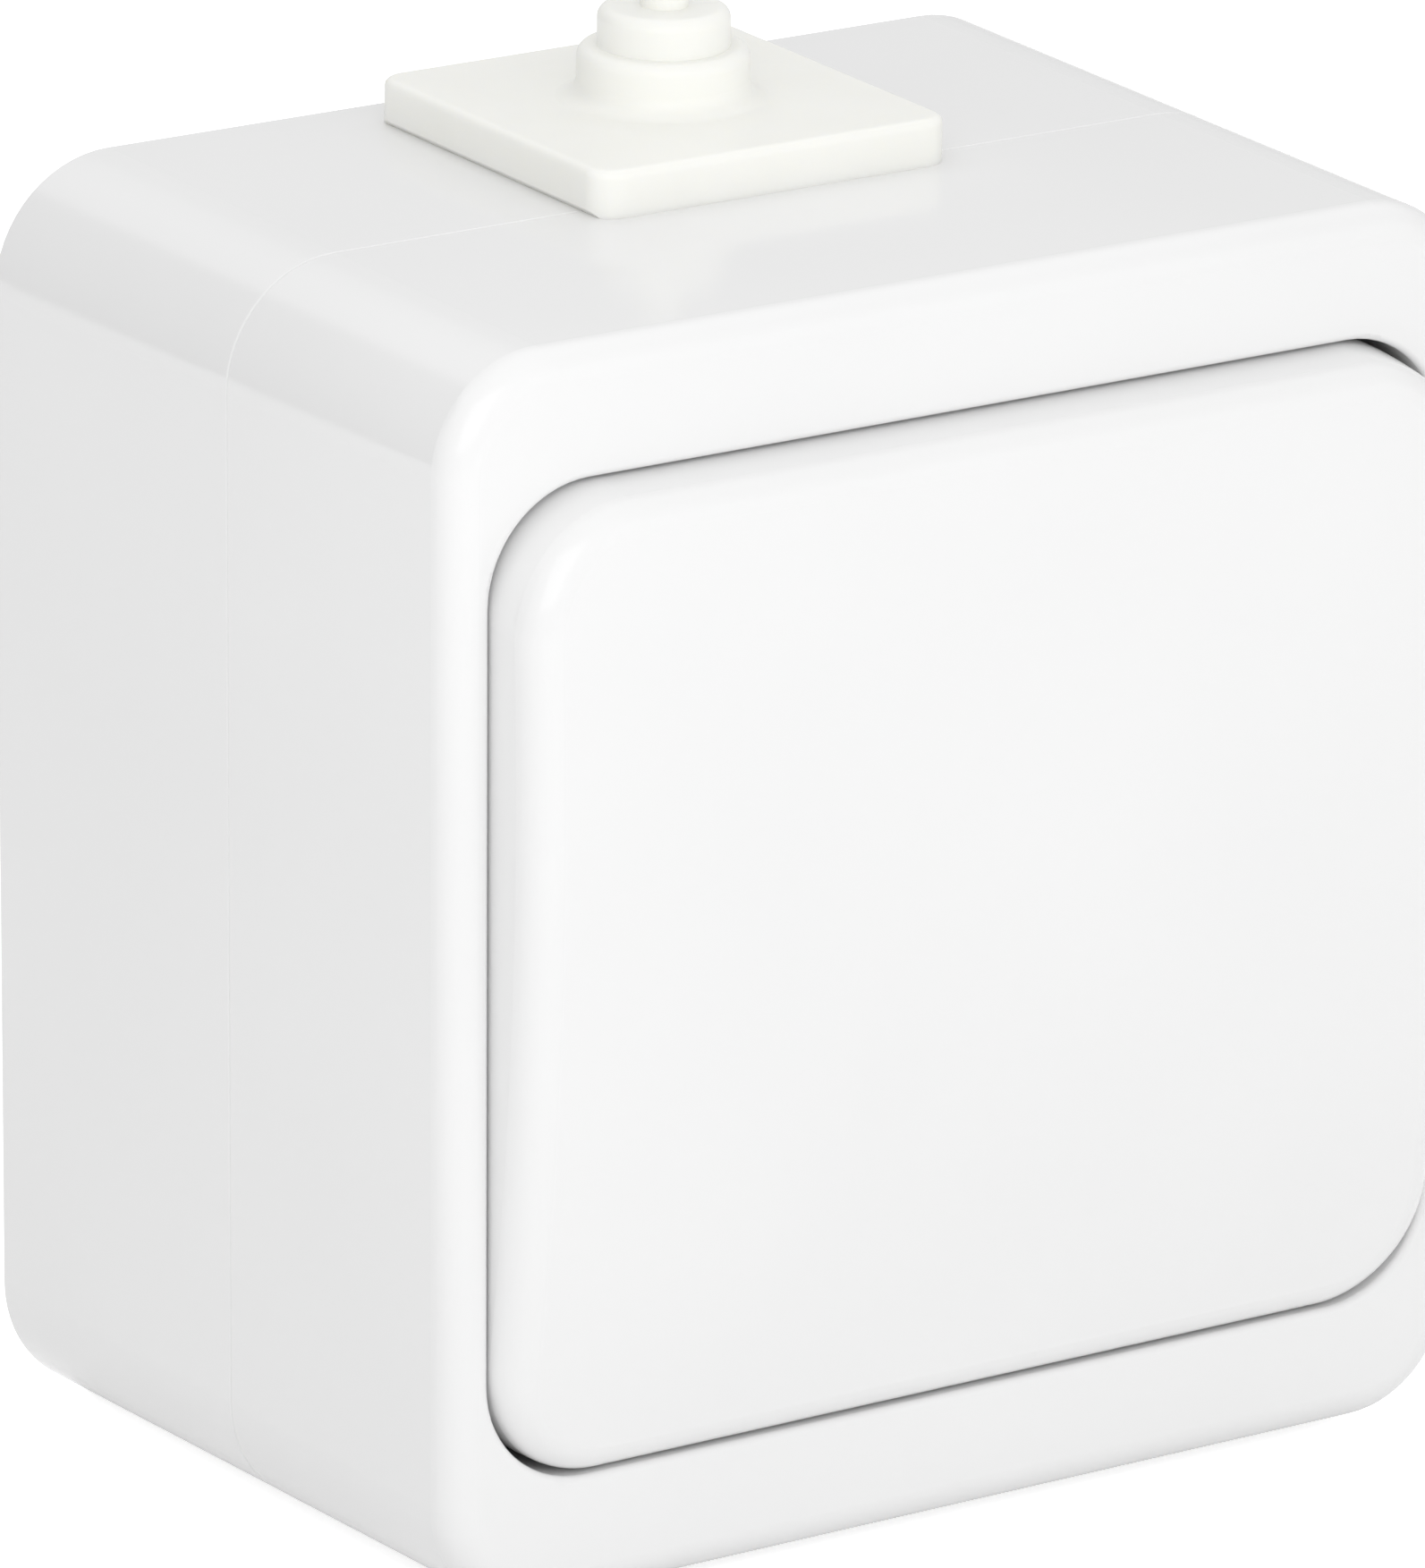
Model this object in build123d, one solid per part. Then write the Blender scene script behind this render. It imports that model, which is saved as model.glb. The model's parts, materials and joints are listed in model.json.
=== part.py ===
"""Surface-mounted splash-proof intermediate (crossover) switch with one large rocker.

Millimetres. Every piece is drawn lying on its back: X to the right, Y up the wall and Z the depth
out from the wall. placed() then stands the finished piece up, so that the wall is the plane Y = 0,
the rocker faces -Y and the cable enters from above.
"""

import math
import os

from build123d import *

# Outer body, a block that narrows from the wall to the front
wall_width = 71.4
wall_height = 75.0
body_depth = 47.0
side_draft = 1.1
corner_radius = 7.6
front_edge_radius = 2.0
shell_wall = 2.6
back_wall = 2.4
front_wall = 2.0

# Joint line between rear housing and front cover, with a tongue, a groove and a seal in it
seam_depth = 24.5
seam_edge_radius = 0.2
seam_gap = 0.04
tongue_inset = 0.95
tongue_wall = 0.75
tongue_height = 2.2
tongue_clearance = 0.1
seal_height = 1.1

# Rocker and the opening it fills, inside the borders of the front face
side_border = 2.6
end_border = 7.45
opening_radius = 6.6
opening_edge_radius = 0.4
rocker_side_gap = 0.15
rocker_end_gap = 0.1
rocker_corner_radius = 7.2
rocker_edge_radius = 2.0
rocker_rise = 4.05
rocker_crown = 1.9
rocker_skirt_depth = 9.0
rocker_skirt_wall = 1.6
rocker_face_wall = 2.0
rocker_tilt = 3.3

# Tub behind the opening, with pockets for the rocker's pivot stubs and a window for its fork
tub_clearance = 0.7
tub_floor = 1.8
tub_wall = 1.6
window_clearance = 2.0
pivot_depth = 3.0
stub_radius = 1.5
stub_length = 1.5
stub_end_clearance = 0.15
running_clearance = 0.05

# Fork under the rocker that drives the toggle lever
fork_width = 7.0
fork_finger = 1.6
fork_clearance = 0.08
fork_overlap = 1.8

# Cable gland of soft rubber in a slot of the top wall
gland_setback = 9.6
gland_flange_width = 24.0
gland_flange_length = 24.0
gland_flange_thickness = 2.75
gland_flange_radius = 1.6
gland_flange_edge = 0.5
gland_flange_ease = 0.5
gland_neck_width = 16.0
gland_slot_clearance = 0.05
gland_lip_width = 2.0
gland_lip_thickness = 1.6
nipple_flare = 1.2
nipple_first_radius = 5.0
nipple_first_height = 3.1
nipple_second_radius = 3.85
nipple_second_height = 2.3
nipple_edge_radius = 0.7
nipple_tip_radius = 1.4
nipple_tip_height = 2.4
nipple_tip_round = 1.2
nipple_wall = 1.0
nipple_membrane = 0.8

# Holes in the back wall for two wall screws, with a collar round each
fixing_inset = 5.63
fixing_hole_radius = 2.25
fixing_collar_radius = 4.25
fixing_collar_height = 2.0

# Slotted screws, with the posts and sleeves that take them
cover_screw_side_inset = 6.2
cover_screw_end_inset = 6.75
post_radius = 3.2
sleeve_hole_radius = 1.7
screw_shank_radius = 1.45
screw_head_radius = 2.8
screw_head_height = 2.0
screw_head_chamfer = 0.25
screw_slot_width = 0.8
screw_slot_depth = 1.0
screw_pilot_clearance = 0.05
screw_pilot_spare = 0.6
cover_screw_bite = 10.5
insert_screw_skin = 2.4

# Contact bars and the conductor strips under them
pole_x = 7.0
contact_span = 8.0
contact_tilt = 9.0
contact_bar_width = 4.0
contact_bar_overhang = 2.0
contact_bar_corner = 1.0
contact_bar_thickness = 1.0
contact_tip_radius = 1.3
contact_tip_height = 0.5
contact_touch_gap = 0.04
strip_thickness = 0.8
pad_width = 4.0
link_width = 3.0
low_link_rise = 2.0
high_link_rise = 4.0
lane_width = 2.6
lane_gap = 0.8
blade_width = 3.6

# Screw terminals at the four corners of the mechanism
terminal_x = 11.0
terminal_gap = 3.5
terminal_width = 6.0
terminal_half_length = 3.5
clamp_plate_length = 6.0
clamp_plate_thickness = 1.2
terminal_screw_bite = 1.6
terminal_shank_radius = 1.5
terminal_hole_clearance = 0.05

# Insulating body of the switch mechanism
body_plate = 3.0
body_end_margin = 1.0
body_corner_radius = 1.1
seat_rib_wall = 1.6
lug_offset = 3.0
lug_radius = 3.4
ear_wall = 2.0
ear_width = 8.0
ear_top_radius = 3.4
cheek_height = 9.0
cheek_clearance = 0.8
pier_clearance = 0.1
chamber_wall = 1.1
chamber_height = 6.0
chamber_clearance = 0.1

# Toggle lever between rocker and contacts
lever_drop = 5.0
lever_arm = 5.0
lever_arm_width = 6.0
lever_arm_radius = 2.0
lever_arm_waist = 3.0
lever_hub_radius = 3.2
lever_side_clearance = 0.2
lever_pin_radius = 1.5
lever_tube_radius = 2.7
lever_tube_length = 7.5

# Sprung plungers in the toggle lever
plunger_reach = 11.85
plunger_radius = 1.6
plunger_shoulder = 3.6
plunger_bore_end = 0.6
plunger_touch_clearance = 0.1
spring_radius = 1.15
spring_wire_radius = 0.2
spring_turns = 4.5

# How far a cut or a root runs past the face that it starts from
overrun = 1.0

# Sizes that follow from those above: body, joint line and rocker
draft_slope = math.tan(math.radians(side_draft))
cavity_top = wall_height / 2 - seam_depth * draft_slope - shell_wall
cavity_side = wall_width / 2 - seam_depth * draft_slope - shell_wall
rim_depth = seam_depth + seam_gap
groove_inset = tongue_inset - tongue_clearance
groove_width = tongue_wall + 2 * tongue_clearance
groove_floor = seam_depth + tongue_height + seal_height
opening_width = wall_width - 2 * (body_depth * draft_slope + side_border)
opening_height = wall_height - 2 * (body_depth * draft_slope + end_border)
rocker_width = opening_width - 2 * rocker_side_gap
rocker_height = opening_height - 2 * rocker_end_gap
rocker_top = body_depth + rocker_rise
rocker_end_top = rocker_top - rocker_crown
skirt_bottom = rocker_end_top - rocker_skirt_depth
rocker_swing = rocker_height / 2 * math.sin(math.radians(rocker_tilt))
floor_front = skirt_bottom - rocker_swing - tub_clearance
floor_back = floor_front - tub_floor
pivot_z = body_depth - pivot_depth

# Lever, contacts and terminals
lever_depth = floor_back - lever_drop
fork_reach = pivot_z - lever_depth - lever_arm
lever_tilt = rocker_tilt * fork_reach / lever_arm
fork_near = lever_arm_radius + fork_clearance
fork_swing = fork_reach * math.sin(math.radians(rocker_tilt))
fulcrum_z = lever_depth - plunger_reach - plunger_touch_clearance - contact_bar_thickness
contact_drop = contact_span * math.sin(math.radians(contact_tilt))
contact_tip_drop = contact_tip_height * math.cos(math.radians(contact_tilt))
fixed_contact_top = fulcrum_z - contact_drop - contact_tip_drop - contact_touch_gap
pad_top = fixed_contact_top - contact_tip_height
pad_bottom = pad_top - strip_thickness
pad_end = contact_span + pad_width / 2
body_floor = pad_bottom - high_link_rise
body_seat_depth = body_floor - body_plate
strip_top = body_floor + strip_thickness
nose_radius = strip_thickness / 2
terminal_start = pad_end + terminal_gap
terminal_y = terminal_start + terminal_half_length
terminal_screw_length = clamp_plate_thickness + strip_thickness + terminal_screw_bite
ear_inside = terminal_x + terminal_width / 2 + chamber_clearance
body_half_width = ear_inside + ear_wall
body_half_height = terminal_y + terminal_half_length + body_end_margin
lane_x = pole_x + pad_width / 2 + lane_gap + lane_width / 2

# Depth of the gland's axis and the places of screws and terminals
gland_depth = seam_depth - gland_setback
cover_screw_x = opening_width / 2 - cover_screw_side_inset
cover_screw_y = opening_height / 2 - cover_screw_end_inset
lug_x = body_half_width + lug_offset
fixing_x = cavity_side - fixing_inset
cover_screw_places = [(i * cover_screw_x, j * cover_screw_y) for i in (-1, 1) for j in (-1, 1)]
terminal_places = [(i * terminal_x, j * terminal_y) for i in (-1, 1) for j in (-1, 1)]
lug_places = [(-lug_x, 0), (lug_x, 0)]
fixing_places = [(-fixing_x, 0), (fixing_x, 0)]


def outline(depth, inset=0.0):
    """Rounded outline of the drafted body at one depth, drawn in by an inset."""
    shrink = depth * draft_slope + inset
    width = wall_width - 2 * shrink
    height = wall_height - 2 * shrink
    return Pos(0, 0, depth) * RectangleRounded(width, height, corner_radius - shrink)


def seam_prism(inset, start, end):
    """Straight prism on the outline of the joint line, drawn in by an inset."""
    section = Pos(0, 0, start - seam_depth) * outline(seam_depth, inset)
    return extrude(section, amount=end - start)


def seam_ring(inset, width, start, end):
    """Ring that follows the joint line between two depths."""
    return seam_prism(inset, start, end) - seam_prism(inset + width, start, end)


def drafted_block(start, end):
    """Slice of the outer body between two depths."""
    return extrude(outline(start), amount=end - start, taper=side_draft)


def box_between(x_range, y_range, z_range):
    """Box given by its limits along X, Y and Z, in either order."""
    ranges = [sorted(limits) for limits in (x_range, y_range, z_range)]
    size = [high - low for low, high in ranges]
    centre = [(high + low) / 2 for low, high in ranges]
    return Pos(*centre) * Box(*size)


def rod(radius, start, end, x=0.0, y=0.0):
    """Round rod along Z between two depths."""
    return Pos(x, y, (start + end) / 2) * Cylinder(radius, end - start)


def rounded_rod(radius, start, end, edge_radius):
    """Round rod along Z with a rounded rim at its outer end."""
    return fillet(top_edges(rod(radius, start, end)), edge_radius)


def cross_rod(radius, start, end, z=0.0):
    """Round rod along X between two places, at one depth."""
    return Pos((start + end) / 2, 0, z) * Rot(0, 90, 0) * Cylinder(radius, abs(end - start))


def top_edges(piece):
    """Edges round the face of a piece that lies furthest out."""
    return piece.faces().sort_by(Axis.Z)[-1].edges()


def group(pieces):
    """Several separate solids kept as one node."""
    return Compound([solid for piece in pieces for solid in piece.solids()])


def placed(piece):
    """Piece stood up from its back, with the wall at Y = 0."""
    return Rot(90, 0, 0) * piece


def make_rear_housing():
    """Tray against the wall with rim tongue, gland slot, posts, seat ribs and wall screw holes."""
    block = drafted_block(0, seam_depth)
    block = fillet(top_edges(block), seam_edge_radius)
    block -= seam_prism(shell_wall, back_wall, seam_depth + overrun)
    block += seam_ring(tongue_inset, tongue_wall, seam_depth - overrun, seam_depth + tongue_height)
    block -= gland_prism(0, cavity_top - overrun, wall_height / 2 + overrun, groove_floor)
    root = back_wall / 2
    collar_top = back_wall + fixing_collar_height
    for x, y in cover_screw_places:
        block += rod(post_radius, root, seam_depth, x, y)
    for x, y in lug_places:
        block += rod(post_radius, root, body_seat_depth, x, y)
    for end in (-1, 1):
        rib_y = end * terminal_start
        rib = (rib_y - seat_rib_wall / 2, rib_y + seat_rib_wall / 2)
        block += box_between((-terminal_x, terminal_x), rib, (root, body_seat_depth))
    for x, y in fixing_places:
        block += rod(fixing_collar_radius, root, collar_top, x, y)
    pilot_radius = screw_shank_radius + screw_pilot_clearance
    cover_pilot_end = seam_depth - cover_screw_bite - screw_pilot_spare
    for x, y in cover_screw_places:
        block -= rod(pilot_radius, cover_pilot_end, seam_depth + overrun, x, y)
    for x, y in lug_places:
        block -= rod(pilot_radius, insert_screw_skin, body_seat_depth + overrun, x, y)
    for x, y in fixing_places:
        block -= rod(fixing_hole_radius, -overrun, collar_top + overrun, x, y)
    return block


def make_front_cover():
    """Drafted cover with the rocker's tub, screw sleeves and the groove for tongue and seal."""
    whole = drafted_block(rim_depth, body_depth)
    whole = fillet(top_edges(whole), front_edge_radius)
    block = whole - seam_prism(shell_wall, rim_depth - overrun, body_depth - front_wall)
    tub_width = opening_width + 2 * tub_wall
    tub_height = opening_height + 2 * tub_wall
    tub = Pos(0, 0, floor_back) * RectangleRounded(tub_width, tub_height, opening_radius + tub_wall)
    block += extrude(tub, amount=body_depth - front_wall / 2 - floor_back) & whole
    for x, y in cover_screw_places:
        block += rod(post_radius, seam_depth, floor_front, x, y)
    opening = RectangleRounded(opening_width, opening_height, opening_radius)
    block -= extrude(Pos(0, 0, floor_front) * opening, amount=body_depth - floor_front + overrun)
    rim = block.faces().filter_by(Plane.XY).sort_by(Axis.Z)[-1].inner_wires()[0]
    block = fillet(rim.edges(), opening_edge_radius)
    window_width = fork_width + 2 * window_clearance
    window_height = 2 * (fork_near + fork_finger + fork_swing + window_clearance)
    block -= Pos(0, 0, floor_front) * Box(window_width, window_height, 2 * tub_floor + overrun)
    for x, y in cover_screw_places:
        block -= rod(sleeve_hole_radius, seam_depth - overrun, floor_front + overrun, x, y)
    block -= seam_ring(groove_inset, groove_width, rim_depth - overrun, groove_floor)
    pocket_end = rocker_width / 2 + stub_length + stub_end_clearance
    return block - cross_rod(stub_radius + running_clearance, -pocket_end, pocket_end, pivot_z)


def crowned_block(inset, bottom, wall):
    """Block in the rocker's outline, drawn in by an inset, under its arched face less a wall.

    Its two ends are round about the pivot, so that the gap at them stays even while it tilts.
    """
    reach = rocker_height / 2 - inset
    end_top = rocker_end_top - wall
    half_top = math.sqrt(reach**2 - (end_top - pivot_z) ** 2)
    half_base = math.sqrt(reach**2 - (bottom - pivot_z) ** 2)
    lines = Line((-half_base, bottom), (half_base, bottom)).edges()
    lines += ThreePointArc((half_top, end_top), (0, rocker_top - wall), (-half_top, end_top)).edges()
    for end in (-1, 1):
        middle = (end * reach, pivot_z)
        lines += ThreePointArc((end * half_base, bottom), middle, (end * half_top, end_top)).edges()
    block = extrude(Plane.YZ * make_face(lines), amount=rocker_width / 2 - inset, both=True)
    corners = block.edges().filter_by(GeomType.CIRCLE).sort_by(SortBy.LENGTH)[:4]
    return fillet(corners, rocker_corner_radius - inset)


def make_rocker():
    """Arched rocker cap with a skirt, two pivot stubs and the fork for the toggle lever."""
    cap = crowned_block(0, skirt_bottom, 0)
    cap = fillet(top_edges(cap), rocker_edge_radius)
    cap -= crowned_block(rocker_skirt_wall, skirt_bottom - overrun, rocker_face_wall)
    finger_end = pivot_z - fork_reach - fork_overlap
    for side in (-1, 1):
        root = side * (rocker_width / 2 - rocker_skirt_wall)
        cap += cross_rod(stub_radius, root, side * (rocker_width / 2 + stub_length), pivot_z)
        cap += box_between(
            (-fork_width / 2, fork_width / 2),
            (side * fork_near, side * (fork_near + fork_finger)),
            (finger_end, rocker_top - rocker_face_wall / 2),
        )
    pivot = Pos(0, 0, pivot_z)
    return pivot * Rot(rocker_tilt, 0, 0) * Pos(0, 0, -pivot_z) * cap


def gland_prism(margin, bottom, top, front):
    """U-shaped prism through the top wall, round at the back and open to the front."""
    radius = gland_neck_width / 2 + margin
    leg = front - gland_depth
    section = Circle(radius) + Pos(0, leg / 2) * Rectangle(2 * radius, leg)
    plane = Plane(origin=(0, top, gland_depth), x_dir=(-1, 0, 0), z_dir=(0, 1, 0))
    return extrude(plane * section, amount=bottom - top)


def make_cable_gland():
    """Rubber gland with a square flange outside, a neck in the slot, a lip inside and a nipple."""
    seat_height = wall_height / 2 - gland_depth * draft_slope
    lip_bottom = cavity_top - gland_lip_thickness
    neck = gland_prism(-gland_slot_clearance, lip_bottom, seat_height, seam_depth)
    lip = gland_prism(gland_lip_width, lip_bottom, cavity_top, seam_depth)
    lip &= seam_prism(shell_wall, back_wall, seam_depth)
    tongue_top = cavity_top + shell_wall - tongue_inset
    neck_half = gland_neck_width / 2 - gland_slot_clearance
    bridge = box_between(
        (-neck_half, neck_half),
        (tongue_top - tongue_wall, tongue_top),
        (seam_depth - overrun, seam_depth + tongue_height),
    )
    seat = Plane(origin=(0, seat_height, gland_depth), x_dir=(1, 0, 0), z_dir=(0, 1, draft_slope))
    hollow_start = lip_bottom - seat_height - overrun
    return seat * make_flange() + neck + lip + bridge - seat * make_nipple_hollow(hollow_start)


def make_flange():
    """Square flange with eased lower side edges and the stepped nipple, its seat at Z = 0."""
    section = RectangleRounded(gland_flange_width, gland_flange_length, gland_flange_radius)
    flange = extrude(section, amount=gland_flange_thickness)
    flange = fillet(top_edges(flange), gland_flange_edge)
    for side in (-1, 1):
        lower_edge = Pos(side * gland_flange_width / 2, 0, 0) * Rot(0, 45, 0)
        flange -= lower_edge * Box(gland_flange_ease, gland_flange_length, gland_flange_ease)
    root = gland_flange_thickness / 2
    first_end = gland_flange_thickness + nipple_first_height
    second_end = first_end + nipple_second_height
    tip_end = second_end + nipple_tip_height
    flange += rounded_rod(nipple_first_radius, root, first_end, nipple_edge_radius)
    foot = flange.edges().filter_by(lambda edge: edge.is_closed).sort_by(Axis.Z)[0]
    flange = fillet(foot, nipple_flare)
    flange += rounded_rod(nipple_second_radius, root, second_end, nipple_edge_radius)
    return flange + rounded_rod(nipple_tip_radius, root, tip_end, nipple_tip_round)


def make_nipple_hollow(start):
    """Space inside the nipple, open to the housing and closed by a membrane under the tip."""
    first_end = gland_flange_thickness + nipple_first_height - nipple_wall
    second_end = first_end + nipple_wall + nipple_second_height - nipple_membrane
    hollow = rod(nipple_first_radius - nipple_wall, start, first_end)
    return hollow + rod(nipple_second_radius - nipple_wall, start, second_end)


def make_housing_seal():
    """Rubber ring in the groove of the front cover, pressed by the tongue."""
    return seam_ring(groove_inset, groove_width, seam_depth + tongue_height, groove_floor)


def make_mechanism_body():
    """Insulating body with fixing lugs, bearing ears, contact piers and terminal chambers."""
    plate_range = (body_seat_depth, body_floor)
    sides = (-body_half_width, body_half_width)
    body = box_between(sides, (-body_half_height, body_half_height), plate_range)
    body = fillet(body.edges().filter_by(Axis.Z), body_corner_radius)
    for x, y in lug_places:
        body += rod(lug_radius, body_seat_depth, body_floor, x, y)
        body += box_between((0, x), (-lug_radius, lug_radius), plate_range)
    root = body_floor - body_plate / 2
    for side in (-1, 1):
        ear = (side * ear_inside, side * body_half_width)
        body += box_between(ear, (-ear_width / 2, ear_width / 2), (root, lever_depth))
        body += cross_rod(ear_top_radius, *ear, lever_depth)
        cheek_half = pad_end - cheek_clearance
        body += box_between(ear, (-cheek_half, cheek_half), (root, body_floor + cheek_height))
        bearing_end = side * (body_half_width + overrun)
        body -= cross_rod(lever_pin_radius + running_clearance, 0, bearing_end, lever_depth)
        for end in (-1, 1):
            body += contact_pier(side, end, root)
            body += terminal_chamber(side, end, root)
    middle = (-link_width / 2, link_width / 2)
    body += box_between(middle, middle, (root, body_floor + low_link_rise))
    for x, y in lug_places:
        body -= rod(sleeve_hole_radius, body_seat_depth - overrun, body_floor + overrun, x, y)
    pilot_radius = terminal_shank_radius + terminal_hole_clearance
    pilot_end = body_floor - terminal_screw_bite - screw_pilot_spare
    for x, y in terminal_places:
        body -= rod(pilot_radius, pilot_end, body_floor + overrun, x, y)
    return body


def contact_pier(side, end, root):
    """Pier of the body under one contact pad."""
    x_range = (side * pole_x - pad_width / 2, side * pole_x + pad_width / 2)
    y_half = pad_width / 2 - pier_clearance
    y_range = (end * contact_span - y_half, end * contact_span + y_half)
    return box_between(x_range, y_range, (root, pad_bottom))


def terminal_chamber(side, end, root):
    """Two walls beside one terminal, open to the front and to the wire's side."""
    walls = Part()
    y_range = (end * terminal_start, end * body_half_height)
    for wall_side in (-1, 1):
        near = side * terminal_x + wall_side * (terminal_width / 2 + chamber_clearance)
        x_range = (near, near + wall_side * chamber_wall)
        walls += box_between(x_range, y_range, (root, body_floor + chamber_height))
    return walls


def lever_set(piece):
    """Piece drawn about the lever's pivot, turned to the lever's place at rest."""
    return Pos(0, 0, lever_depth) * Rot(-lever_tilt, 0, 0) * piece


def make_toggle_lever():
    """Lever with two pins, an arm for the rocker's fork and two tubes for the plungers."""
    half = ear_inside - lever_side_clearance
    pin_end = body_half_width - lever_side_clearance
    arm = (-lever_arm_width / 2, lever_arm_width / 2)
    lever = cross_rod(lever_hub_radius, -half, half) + cross_rod(lever_pin_radius, -pin_end, pin_end)
    lever += box_between(arm, (-lever_arm_waist / 2, lever_arm_waist / 2), (0, lever_arm))
    lever += cross_rod(lever_arm_radius, *arm, lever_arm)
    for side in (-1, 1):
        lever += rod(lever_tube_radius, -lever_tube_length, 0, side * pole_x)
    for side in (-1, 1):
        bore = plunger_radius + running_clearance
        lever -= rod(bore, -lever_tube_length - overrun, plunger_bore_end, side * pole_x)
    return lever_set(lever)


def make_plunger(side):
    """Round-nosed plunger in one tube of the toggle lever."""
    x = side * pole_x
    nose = plunger_radius - plunger_reach
    plunger = rod(plunger_radius, nose, -plunger_shoulder, x)
    return lever_set(plunger + Pos(x, 0, nose) * Sphere(plunger_radius))


def make_plunger_spring(side):
    """Coil spring between the plunger's shoulder and the end of its bore."""
    start = spring_wire_radius - plunger_shoulder
    length = plunger_bore_end - spring_wire_radius - start
    path = Helix(pitch=length / spring_turns, height=length, radius=spring_radius)
    section = Plane(origin=path @ 0, z_dir=path % 0) * Circle(spring_wire_radius)
    coil = sweep(section, path=path, is_frenet=True)
    return lever_set(Pos(side * pole_x, 0, start) * coil)


def contact_set(piece, side):
    """Piece drawn about a contact bar's fulcrum, turned to the bar's place at rest."""
    return Pos(side * pole_x, 0, fulcrum_z) * Rot(contact_tilt, 0, 0) * piece


def make_contact_bar(side):
    """Moving contact that seesaws on its fulcrum, grooved for the blade's round edge."""
    length = 2 * (contact_span + contact_bar_overhang)
    bar = Pos(0, 0, contact_bar_thickness / 2) * Box(contact_bar_width, length, contact_bar_thickness)
    bar = fillet(bar.edges().filter_by(Axis.Z), contact_bar_corner)
    bar -= cross_rod(nose_radius + running_clearance, -contact_bar_width, contact_bar_width)
    return contact_set(bar, side)


def make_contact_tips(side):
    """Domed silver tips under both ends of one contact bar."""
    dome_radius = (contact_tip_radius**2 + contact_tip_height**2) / (2 * contact_tip_height)
    dome = Pos(0, 0, dome_radius - contact_tip_height) * Sphere(dome_radius)
    tip = dome & rod(contact_tip_radius, -contact_tip_height, 0)
    return group([contact_set(Pos(0, end * contact_span, 0) * tip, side) for end in (-1, 1)])


def terminal_tail(side, end, start):
    """Flat end of a strip under one terminal, with the hole for its screw."""
    x = side * terminal_x
    x_range = (x - terminal_width / 2, x + terminal_width / 2)
    y_range = (end * start, end * (terminal_y + terminal_half_length))
    tail = box_between(x_range, y_range, (body_floor, strip_top))
    return tail - terminal_hole(x, end * terminal_y)


def terminal_hole(x, y):
    """Hole for a terminal screw through strip and clamp plate."""
    top = strip_top + clamp_plate_thickness + overrun
    return rod(terminal_shank_radius + terminal_hole_clearance, body_floor - overrun, top, x, y)


def make_common_strip(side):
    """Strip from an upper terminal to the blade that one contact bar rocks on."""
    flat = (body_floor, strip_top)
    half_lane = lane_width / 2
    lane = (side * (lane_x - half_lane), side * (lane_x + half_lane))
    blade = (side * (pole_x - blade_width / 2), side * (pole_x + blade_width / 2))
    strip = terminal_tail(side, 1, terminal_start)
    strip += box_between(lane, (-half_lane, terminal_start), flat)
    strip += box_between((lane[0], blade[0]), (-half_lane, half_lane), flat)
    strip += box_between(blade, (-nose_radius, nose_radius), (body_floor, fulcrum_z))
    return strip + cross_rod(nose_radius, *blade, fulcrum_z)


def contact_pad(side, end):
    """Square pad of a traveller strip under one end of a contact bar."""
    place = Pos(side * pole_x, end * contact_span, pad_bottom + strip_thickness / 2)
    return place * Box(pad_width, pad_width, strip_thickness)


def output_leg(side):
    """Leg from a lower pad down to its terminal."""
    x_range = (side * (pole_x - pad_width / 2), side * lane_x)
    leg = box_between(x_range, (-pad_end - strip_thickness, -pad_end), (body_floor, pad_top))
    return leg + terminal_tail(side, -1, pad_end)


def diagonal_link(half_run, rise, bottom):
    """Flat link across the middle of the mechanism, at one level."""
    angle = math.degrees(math.atan2(rise, half_run))
    place = Pos(0, 0, bottom + strip_thickness / 2) * Rot(0, 0, angle)
    return place * Box(2 * math.hypot(half_run, rise), link_width, strip_thickness)


def make_high_traveller():
    """Strip from the lower left pad straight across to the upper right pad."""
    strip = contact_pad(-1, -1) + contact_pad(1, 1) + output_leg(-1)
    return strip + diagonal_link(pole_x - pad_width / 2, contact_span, pad_bottom)


def make_low_traveller():
    """Strip from the lower right pad, dipping under the other strip, to the upper left pad."""
    low = body_floor + low_link_rise
    outer = pole_x - pad_width / 2
    inner = outer - strip_thickness
    strip = contact_pad(1, -1) + contact_pad(-1, 1) + output_leg(1)
    link = diagonal_link(-inner, contact_span, low)
    strip += link & Box(2 * outer, 2 * pad_end, 2 * pad_top)
    for side in (-1, 1):
        y_range = (-side * (contact_span - link_width / 2), -side * (contact_span + link_width / 2))
        strip += box_between((side * inner, side * outer), y_range, (low, pad_top))
    return strip


def make_fixed_contact_tips():
    """Silver tips on the four pads."""
    places = [(i * pole_x, j * contact_span) for i in (-1, 1) for j in (-1, 1)]
    return group([rod(contact_tip_radius, pad_top, fixed_contact_top, x, y) for x, y in places])


def make_clamp_plates():
    """Square washers that clamp the wires on the four terminals."""
    plates = []
    for x, y in terminal_places:
        place = Pos(x, y, strip_top + clamp_plate_thickness / 2)
        plate = place * Box(terminal_width, clamp_plate_length, clamp_plate_thickness)
        plates.append(plate - terminal_hole(x, y))
    return group(plates)


def slotted_screw(x, y, seat, length, shank_radius):
    """Screw with a slotted cylinder head that rests on the depth called seat."""
    top = seat + screw_head_height
    head = rod(screw_head_radius, seat, top, x, y)
    head = chamfer(top_edges(head), screw_head_chamfer)
    slot = Pos(x, y, top) * Box(2 * screw_head_radius, screw_slot_width, 2 * screw_slot_depth)
    return head - slot + rod(shank_radius, seat - length, seat, x, y)


def make_screws(places, seat, length, shank_radius):
    """Group of equal screws."""
    return group([slotted_screw(x, y, seat, length, shank_radius) for x, y in places])


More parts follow.
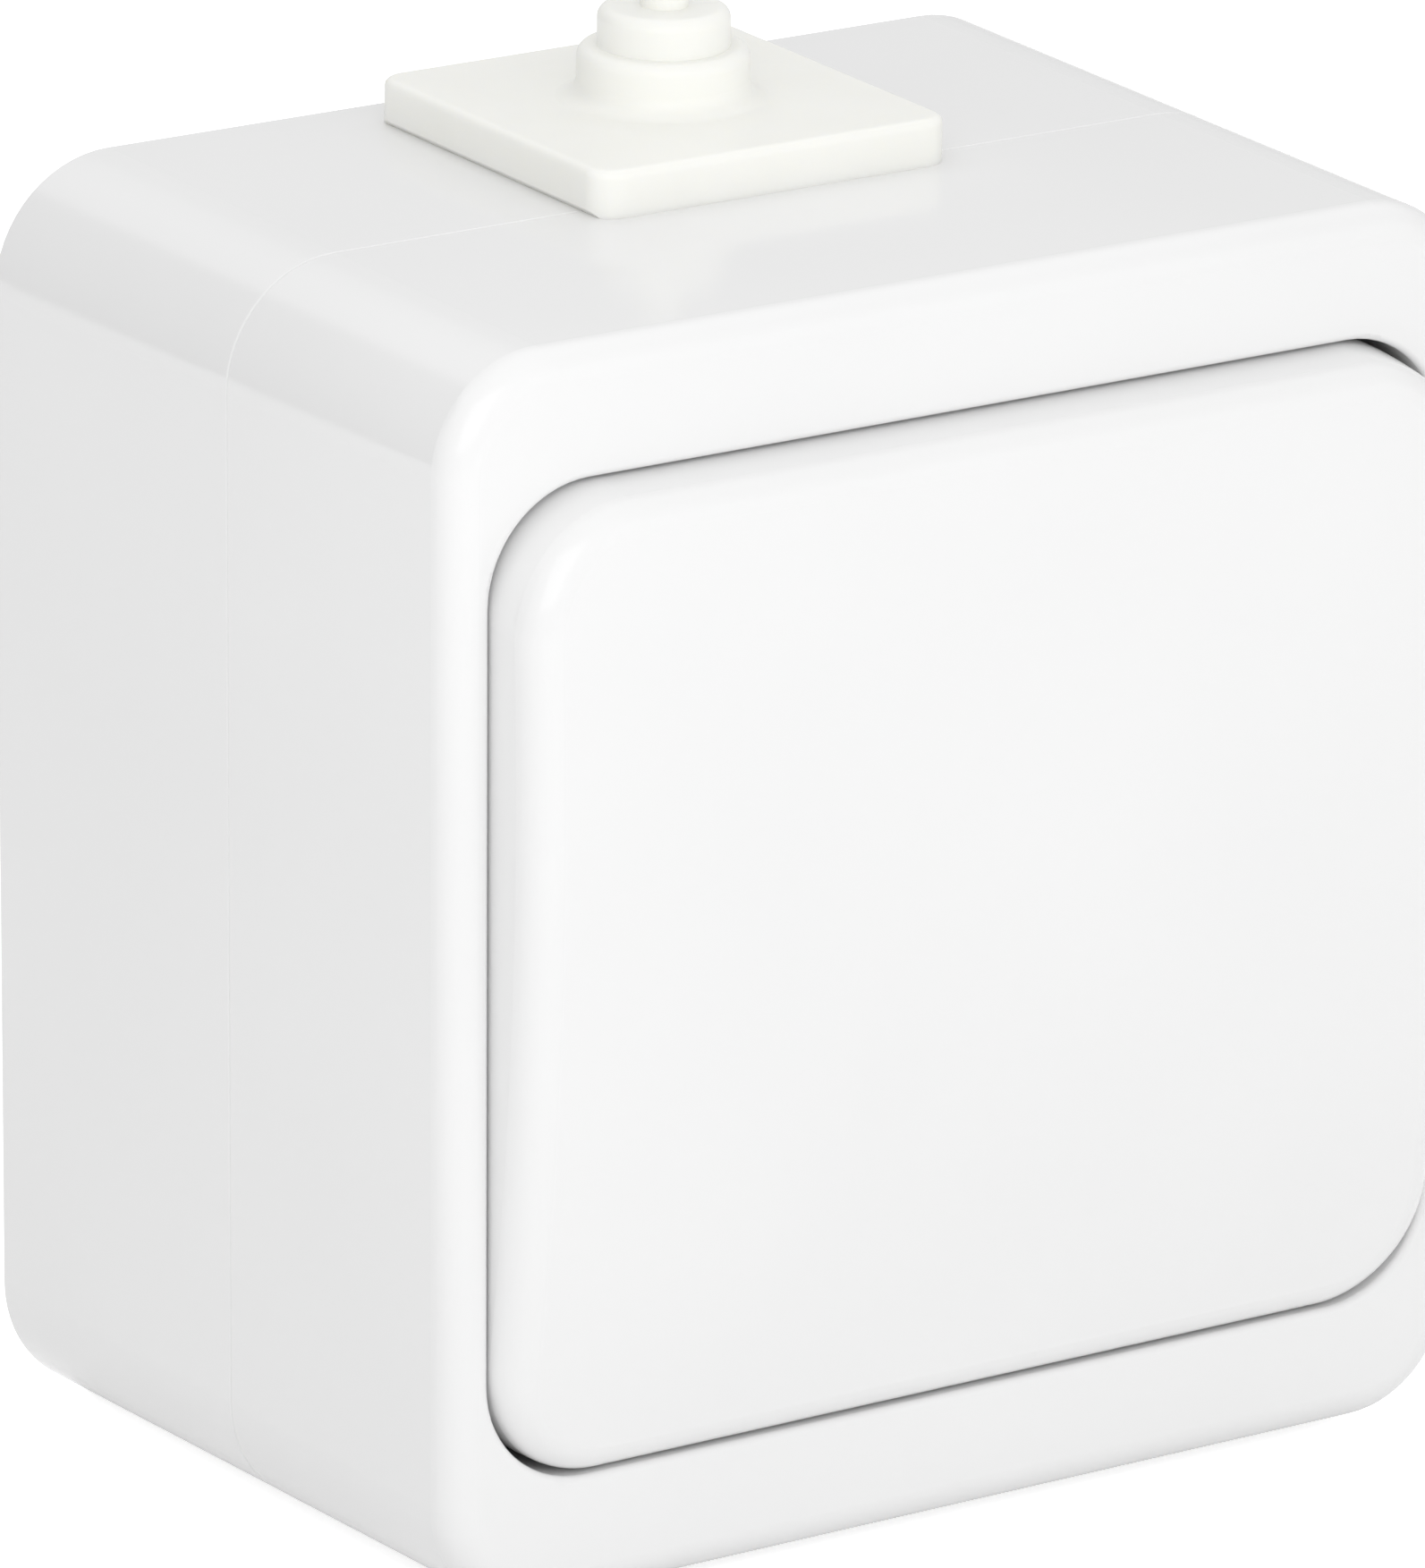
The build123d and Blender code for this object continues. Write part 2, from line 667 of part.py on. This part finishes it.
def main():
    cover_screw_length = floor_front - seam_depth + cover_screw_bite
    insert_screw_length = body_floor - insert_screw_skin - screw_pilot_spare
    terminal_seat = strip_top + clamp_plate_thickness
    pieces = {
        "rear_housing": make_rear_housing(),
        "front_cover": make_front_cover(),
        "rocker": make_rocker(),
        "cable_gland": make_cable_gland(),
        "housing_seal": make_housing_seal(),
        "mechanism_body": make_mechanism_body(),
        "toggle_lever": make_toggle_lever(),
        "high_traveller_strip": make_high_traveller(),
        "low_traveller_strip": make_low_traveller(),
        "fixed_contact_tips": make_fixed_contact_tips(),
        "clamp_plates": make_clamp_plates(),
        "terminal_screws": make_screws(
            terminal_places, terminal_seat, terminal_screw_length, terminal_shank_radius
        ),
        "insert_screws": make_screws(lug_places, body_floor, insert_screw_length, screw_shank_radius),
        "cover_screws": make_screws(
            cover_screw_places, floor_front, cover_screw_length, screw_shank_radius
        ),
    }
    for side, name in ((-1, "left"), (1, "right")):
        pieces[f"plunger_{name}"] = make_plunger(side)
        pieces[f"plunger_spring_{name}"] = make_plunger_spring(side)
        pieces[f"contact_bar_{name}"] = make_contact_bar(side)
        pieces[f"contact_tips_{name}"] = make_contact_tips(side)
        pieces[f"common_strip_{name}"] = make_common_strip(side)
    os.makedirs("parts", exist_ok=True)
    for node, piece in pieces.items():
        export_step(placed(piece), f"parts/{node}.step")


if __name__ == "__main__":
    main()
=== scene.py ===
"""Looks of the surface-mounted intermediate switch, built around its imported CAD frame.

Metres, in the CAD frame: the wall is the plane Y = 0, the rocker faces -Y and the gland is on top.
"""

import functools
import json
import math

import bpy
import numpy as np
from mathutils import Matrix, Vector


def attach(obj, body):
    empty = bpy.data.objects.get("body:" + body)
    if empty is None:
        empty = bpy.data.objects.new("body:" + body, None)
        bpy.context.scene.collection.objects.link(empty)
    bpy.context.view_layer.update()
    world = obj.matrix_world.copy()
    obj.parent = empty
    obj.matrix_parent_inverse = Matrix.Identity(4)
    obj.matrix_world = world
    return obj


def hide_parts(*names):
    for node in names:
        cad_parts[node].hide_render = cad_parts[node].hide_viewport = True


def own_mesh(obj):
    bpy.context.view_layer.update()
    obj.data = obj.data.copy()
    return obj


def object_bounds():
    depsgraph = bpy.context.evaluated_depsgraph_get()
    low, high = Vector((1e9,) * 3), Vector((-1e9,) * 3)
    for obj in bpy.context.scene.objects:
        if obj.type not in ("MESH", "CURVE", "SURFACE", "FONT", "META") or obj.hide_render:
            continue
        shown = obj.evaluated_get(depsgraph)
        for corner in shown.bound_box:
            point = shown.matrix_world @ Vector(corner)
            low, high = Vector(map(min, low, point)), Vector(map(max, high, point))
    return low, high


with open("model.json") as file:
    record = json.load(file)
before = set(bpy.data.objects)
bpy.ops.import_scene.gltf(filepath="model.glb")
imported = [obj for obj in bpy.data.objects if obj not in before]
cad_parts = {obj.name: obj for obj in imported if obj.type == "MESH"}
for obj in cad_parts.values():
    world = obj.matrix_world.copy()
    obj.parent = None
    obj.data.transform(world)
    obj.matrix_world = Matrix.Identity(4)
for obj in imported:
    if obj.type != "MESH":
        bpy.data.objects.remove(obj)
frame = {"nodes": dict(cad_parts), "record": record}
cad_low, cad_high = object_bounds()

# Camera: direction to the object, distance and lens of the photograph
CAMERA_AZIMUTH = -33.598
CAMERA_ELEVATION = 17.745
CAMERA_ROLL = 0.3845
CAMERA_DISTANCE = 0.8033
CAMERA_TARGET = (-0.001883, -0.023427, 0.001129)
CAMERA_LENS = 320.07
CAMERA_SENSOR = 36.0

# Light: a room, its ceiling with a front and a back part, a dark corner whose edges are given as axis, start and end
# of its fade, and soft boxes with place, size and power. The front soft box isn't mirrored, so that the top keeps its
# colour when it is seen from behind.
ROOM_LIGHT = 0.74
CEILING_LIGHT = (0.66, 1.22)
CEILING_TURN = (-0.30, 0.30)
CEILING_RISE = (0.45, 0.75)
DARK_CORNER = 0.30
DARK_CORNER_EDGES = (("X", -0.16, -0.24), ("X", -0.72, -0.64), ("Y", 0.30, 0.45), ("Z", 0.62, 0.55))
SOFT_BOXES = {
    "left_soft_box": ((-0.13, -0.18, 0.13), 0.16, 0.070),
    "front_soft_box": ((-0.25, -1.20, 0.20), 1.60, 5.90),
    "right_soft_box": ((0.75, -0.95, 0.30), 0.90, 0.68),
}
UNMIRRORED_BOX = "front_soft_box"
LIGHT_AIM = (0.0, -0.023, 0.0)

# Plunger springs: coil and wire radius, and both ends along the plunger, measured from the lever's pivot
SPRING_RADIUS = 0.00115
SPRING_WIRE = 0.0002
SPRING_TURNS = 4.5
SPRING_FOOT = -0.0036
SPRING_HEAD = 0.0006
SPRING_STEPS = 217
SPRING_SIDES = 12

# Floor under the object
FLOOR_RADIUS = 0.5
FLOOR_RINGS = 24
FLOOR_SPOKES = 48
FLOOR_COLOUR = (0.86, 0.86, 0.86, 1.0)
FLOOR_GLOW = 0.70
FLOOR_GLOW_IN_GLOSS = 0.35


class Nodes:
    """Short ways to add nodes to a node tree, with its object coordinates."""

    def __init__(self, owner, main):
        owner.use_nodes = True
        self.tree = owner.node_tree
        self.main = next(n for n in self.tree.nodes if n.type == main)
        self.place = self.node("ShaderNodeTexCoord").outputs["Object"]

    def node(self, kind, **settings):
        """Adds a node and sets its plain properties."""
        made = self.tree.nodes.new(kind)
        for key, value in settings.items():
            setattr(made, key, value)
        return made

    def link(self, output, socket):
        """Joins an output to an input socket."""
        self.tree.links.new(output, socket)

    def ramp(self, value, low, high, start=0.3, end=0.7):
        """Maps a value from start to end onto low to high, which are numbers or values of other nodes."""
        made = self.node("ShaderNodeMapRange")
        self.link(value, made.inputs["Value"])
        for key, given in (("From Min", start), ("From Max", end), ("To Min", low), ("To Max", high)):
            if isinstance(given, bpy.types.NodeSocket):
                self.link(given, made.inputs[key])
            else:
                made.inputs[key].default_value = given
        return made.outputs["Result"]

    def times(self, first, second):
        """Multiplies two values."""
        made = self.node("ShaderNodeMath", operation="MULTIPLY")
        self.link(first, made.inputs[0])
        self.link(second, made.inputs[1])
        return made.outputs[0]


class Shader(Nodes):
    """A new material with its main shader and ways to build its look."""

    def __init__(self, name):
        self.material = bpy.data.materials.new(name)
        super().__init__(self.material, "BSDF_PRINCIPLED")

    def noise(self, scale, detail=3.0, stretch=(1.0, 1.0, 1.0)):
        """Noise on object coordinates, stretched along the axes, as a value near one half."""
        mapping = self.node("ShaderNodeMapping")
        mapping.inputs["Scale"].default_value = stretch
        self.link(self.place, mapping.inputs["Vector"])
        made = self.node("ShaderNodeTexNoise")
        made.inputs["Scale"].default_value = scale
        made.inputs["Detail"].default_value = detail
        self.link(mapping.outputs["Vector"], made.inputs["Vector"])
        return made.outputs["Fac"]

    def tint(self, value, dark, light):
        """Mixes two colours by a value."""
        made = self.node("ShaderNodeMix", data_type="RGBA")
        made.inputs["A"].default_value = (*dark, 1.0)
        made.inputs["B"].default_value = (*light, 1.0)
        self.link(value, made.inputs["Factor"])
        return next(o for o in made.outputs if o.type == "RGBA")

    def bump(self, height, strength, distance, below=None):
        """Adds a bump from a height value, on top of another bump if one is given."""
        made = self.node("ShaderNodeBump")
        made.inputs["Strength"].default_value = strength
        made.inputs["Distance"].default_value = distance
        self.link(height, made.inputs["Height"])
        if below is not None:
            self.link(below, made.inputs["Normal"])
        return made.outputs["Normal"]

    def set(self, **values):
        """Sets constant sockets of the main shader."""
        for key, value in values.items():
            self.main.inputs[key.replace("_", " ")].default_value = value

    def finish(self, colour, roughness, normal):
        """Joins the look to the main shader and gives the material."""
        self.link(colour, self.main.inputs["Base Color"])
        self.link(roughness, self.main.inputs["Roughness"])
        self.link(normal, self.main.inputs["Normal"])
        return self.material


def moulded_plastic(name, dark, light, roughness, grain, grain_height):
    """Moulded plastic: faint colour clouds, uneven gloss and the mould's fine grain."""
    shader = Shader(name)
    clouds = shader.noise(38.0, 2.0)
    colour = shader.tint(shader.ramp(clouds, 0.0, 1.0), dark, light)
    gloss = shader.ramp(shader.noise(120.0, 4.0), roughness * 0.85, roughness * 1.15)
    waves = shader.bump(shader.noise(55.0, 1.0), 0.25, 0.00002)
    normal = shader.bump(shader.noise(grain, 2.0), 0.3, grain_height, waves)
    shader.set(IOR=1.5)
    return shader.finish(colour, gloss, normal)


def soft_rubber(name, dark, light, roughness):
    """Soft rubber: cloudy colour, satin gloss and a bloomed, slightly pitted skin."""
    shader = Shader(name)
    clouds = shader.noise(140.0, 5.0)
    colour = shader.tint(shader.ramp(clouds, 0.0, 1.0), dark, light)
    gloss = shader.ramp(shader.noise(300.0, 3.0), roughness * 0.8, roughness * 1.2)
    normal = shader.bump(shader.noise(900.0, 4.0), 0.35, 0.00004)
    shader.set(IOR=1.5, Subsurface_Weight=0.25, Subsurface_Radius=(1.0, 0.95, 0.8), Subsurface_Scale=0.001)
    return shader.finish(colour, gloss, normal)


def worked_metal(name, dark, light, roughness, stretch):
    """Metal drawn or stamped along one direction: streaked colour, gloss and fine scratches."""
    shader = Shader(name)
    streaks = shader.noise(900.0, 6.0, stretch)
    colour = shader.tint(shader.ramp(streaks, 0.0, 1.0), dark, light)
    gloss = shader.ramp(shader.noise(400.0, 4.0, stretch), roughness * 0.7, roughness * 1.3)
    normal = shader.bump(streaks, 0.2, 0.00001)
    shader.set(Metallic=1.0)
    return shader.finish(colour, gloss, normal)


def make_finishes():
    """Materials by record slot."""
    return {
        "white_plastic": moulded_plastic(
            "glossy_white_plastic", (0.844, 0.844, 0.844), (0.859, 0.859, 0.859), 0.12, 1400.0, 0.000002
        ),
        "gland_rubber": soft_rubber("ivory_rubber", (0.900, 0.900, 0.855), (0.920, 0.920, 0.880), 0.38),
        "seal_rubber": soft_rubber("black_rubber", (0.018, 0.018, 0.018), (0.030, 0.030, 0.030), 0.55),
        "insulating_plastic": moulded_plastic(
            "dark_insulating_plastic", (0.022, 0.023, 0.025), (0.034, 0.035, 0.037), 0.42, 1800.0, 0.00001
        ),
        "lever_plastic": moulded_plastic(
            "natural_lever_plastic", (0.56, 0.53, 0.46), (0.64, 0.61, 0.54), 0.36, 1600.0, 0.000006
        ),
        "brass_strip": worked_metal(
            "stamped_brass", (0.66, 0.44, 0.17), (0.78, 0.55, 0.25), 0.28, (1.0, 6.0, 1.0)
        ),
        "contact_silver": worked_metal(
            "contact_silver", (0.78, 0.77, 0.74), (0.90, 0.89, 0.86), 0.24, (1.0, 1.0, 1.0)
        ),
        "plated_steel": worked_metal(
            "zinc_plated_steel", (0.50, 0.51, 0.50), (0.66, 0.66, 0.63), 0.32, (1.0, 1.0, 4.0)
        ),
        "spring_steel": worked_metal(
            "drawn_spring_wire", (0.30, 0.30, 0.31), (0.46, 0.46, 0.47), 0.30, (4.0, 1.0, 1.0)
        ),
    }


def dress_nodes(finishes):
    """Gives every CAD node the material of its record slot."""
    for entry in frame["record"]["subparts"]:
        mesh = frame["nodes"][entry["node"]].data
        mesh.materials.clear()
        mesh.materials.append(finishes[entry["material_slot"]])


def ring_quads(rings, sides):
    """Quads between rings of points that follow each other, each point with the one beside it and the next ring's."""
    first = np.arange((rings - 1) * sides)
    beside = first - first % sides + (first + 1) % sides
    return np.stack([first, first + sides, beside + sides, beside], axis=-1)


def add_mesh(name, points, faces, material):
    """New smooth object at the origin, with its place in its mesh."""
    mesh = bpy.data.meshes.new(name)
    mesh.from_pydata(points.reshape(-1, 3).tolist(), [], faces)
    mesh.shade_smooth()
    mesh.materials.append(material)
    made = bpy.data.objects.new(name, mesh)
    bpy.context.scene.collection.objects.link(made)
    return made


def make_spring(side, material):
    """Plunger spring: a circle carried along a helix that climbs evenly about the plunger's line.

    The circle stands across the helix.
    """
    joints = {joint["name"]: joint for joint in frame["record"]["behaviour"]["joints"]}
    slide = joints[f"plunger_{side}_slide"]
    axis = np.array(slide["axis"])
    across = np.array((1.0, 0.0, 0.0))
    up = np.cross(axis, across)
    middle = np.array(joints["lever_swing"]["pos_m"]) + joints[f"contact_{side}_swing"]["pos_m"][0] * across
    turn = np.linspace(0.0, 2.0 * np.pi * SPRING_TURNS, SPRING_STEPS)[:, None]
    bend = np.linspace(0.0, 2.0 * np.pi, SPRING_SIDES, endpoint=False)[None, :]
    rise = np.linspace(SPRING_FOOT + SPRING_WIRE, SPRING_HEAD - SPRING_WIRE, SPRING_STEPS)[:, None]
    slope = (rise[-1, 0] - rise[0, 0]) / (turn[-1, 0] * SPRING_RADIUS)
    reach = SPRING_RADIUS + SPRING_WIRE * np.cos(bend)
    lift = SPRING_WIRE * np.sin(bend) / math.hypot(1.0, slope)
    points = (reach * np.cos(turn) + slope * lift * np.sin(turn))[..., None] * across
    points = points + (reach * np.sin(turn) - slope * lift * np.cos(turn))[..., None] * up
    points = points + (rise + lift)[..., None] * axis + middle
    end = np.arange(SPRING_SIDES)
    ends = np.stack([end, SPRING_STEPS * SPRING_SIDES - 1 - end])
    faces = ring_quads(SPRING_STEPS, SPRING_SIDES).tolist() + ends.tolist()
    spring = add_mesh(f"coil_spring_{side}", points, faces, material)
    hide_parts(f"plunger_spring_{side}")
    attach(spring, "lever")
    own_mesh(spring)


def floor_material():
    """Pale floor that looks white to the camera, dimmer in gloss, and keeps a soft shadow."""
    shader = Shader("pale_floor")
    shader.set(Base_Color=FLOOR_COLOUR, Roughness=0.9, Specular_IOR_Level=0.0, Emission_Color=(1.0, 1.0, 1.0, 1.0))
    rays = shader.node("ShaderNodeLightPath").outputs
    mirrored = shader.ramp(rays["Is Glossy Ray"], 0.0, FLOOR_GLOW_IN_GLOSS, 0.0, 1.0)
    glow = shader.ramp(rays["Is Camera Ray"], mirrored, FLOOR_GLOW, 0.0, 1.0)
    shader.link(glow, shader.main.inputs["Emission Strength"])
    return shader.material


def make_floor(height):
    """Round floor: rings whose radius grows evenly from the middle to the rim, and a fan about the middle point."""
    reach = np.linspace(0.0, FLOOR_RADIUS, FLOOR_RINGS + 1)[1:, None]
    turn = np.linspace(0.0, 2.0 * np.pi, FLOOR_SPOKES, endpoint=False)[None, :]
    points = np.stack([reach * np.cos(turn), reach * np.sin(turn), np.full_like(reach * turn, height)], axis=-1)
    points = np.concatenate([points.reshape(-1, 3), [[0.0, 0.0, height]]])
    spoke = np.arange(FLOOR_SPOKES)
    fan = np.stack([np.full_like(spoke, FLOOR_RINGS * FLOOR_SPOKES), spoke, (spoke + 1) % FLOOR_SPOKES], axis=-1)
    faces = ring_quads(FLOOR_RINGS, FLOOR_SPOKES).tolist() + fan.tolist()
    add_mesh("floor", points, faces, floor_material())


def make_room():
    """Surroundings: white to the camera, otherwise a pale room under a brighter ceiling.

    Behind the object on the left is a dark corner, which shows in the gloss of the rounded edge.
    """
    world = bpy.data.worlds.new("room")
    nodes = Nodes(world, "BACKGROUND")
    ray = nodes.node("ShaderNodeSeparateXYZ")
    nodes.link(nodes.place, ray.inputs["Vector"])
    ceiling = nodes.ramp(ray.outputs["Y"], *CEILING_LIGHT, *CEILING_TURN)
    light = nodes.ramp(ray.outputs["Z"], ROOM_LIGHT, ceiling, *CEILING_RISE)
    edges = [nodes.ramp(ray.outputs[axis], 0.0, 1.0, start, end) for axis, start, end in DARK_CORNER_EDGES]
    corner = functools.reduce(nodes.times, edges)
    light = nodes.times(light, nodes.ramp(corner, 1.0, DARK_CORNER, 0.0, 1.0))
    seen = nodes.node("ShaderNodeLightPath").outputs["Is Camera Ray"]
    nodes.main.inputs["Color"].default_value = (1.0, 1.0, 1.0, 1.0)
    nodes.link(nodes.ramp(seen, light, 1.0, 0.0, 1.0), nodes.main.inputs["Strength"])
    bpy.context.scene.world = world


def make_lights():
    """Square soft boxes turned to the object."""
    aim = Vector(LIGHT_AIM)
    for name, (place, size, power) in SOFT_BOXES.items():
        data = bpy.data.lights.new(name, "AREA")
        data.size = size
        data.energy = power
        box = bpy.data.objects.new(name, data)
        box.location = place
        box.rotation_euler = (aim - Vector(place)).to_track_quat("-Z", "Y").to_euler()
        box.visible_camera = False
        box.visible_glossy = name != UNMIRRORED_BOX
        bpy.context.scene.collection.objects.link(box)


def make_camera():
    """Camera at the photograph's angle, turned about its own axis by the photograph's small roll."""
    azimuth = math.radians(CAMERA_AZIMUTH)
    elevation = math.radians(CAMERA_ELEVATION)
    level = math.cos(elevation)
    back = Vector((math.sin(azimuth) * level, -math.cos(azimuth) * level, math.sin(elevation)))
    right = Vector((0.0, 0.0, 1.0)).cross(back).normalized()
    up = back.cross(right)
    roll = math.radians(CAMERA_ROLL)
    side = math.cos(roll) * right + math.sin(roll) * up
    head = math.cos(roll) * up - math.sin(roll) * right
    data = bpy.data.cameras.new("camera")
    data.lens = CAMERA_LENS
    data.sensor_width = CAMERA_SENSOR
    camera = bpy.data.objects.new("camera", data)
    turn = Matrix((side, head, back)).transposed().to_4x4()
    camera.matrix_world = Matrix.Translation(Vector(CAMERA_TARGET) + back * CAMERA_DISTANCE) @ turn
    bpy.context.scene.collection.objects.link(camera)
    bpy.context.scene.camera = camera


bpy.context.scene.view_settings.view_transform = "Standard"
make_camera()
make_room()
make_lights()
make_floor(cad_low.z)
finishes = make_finishes()
dress_nodes(finishes)
for spring_side in ("left", "right"):
    make_spring(spring_side, finishes["spring_steel"])
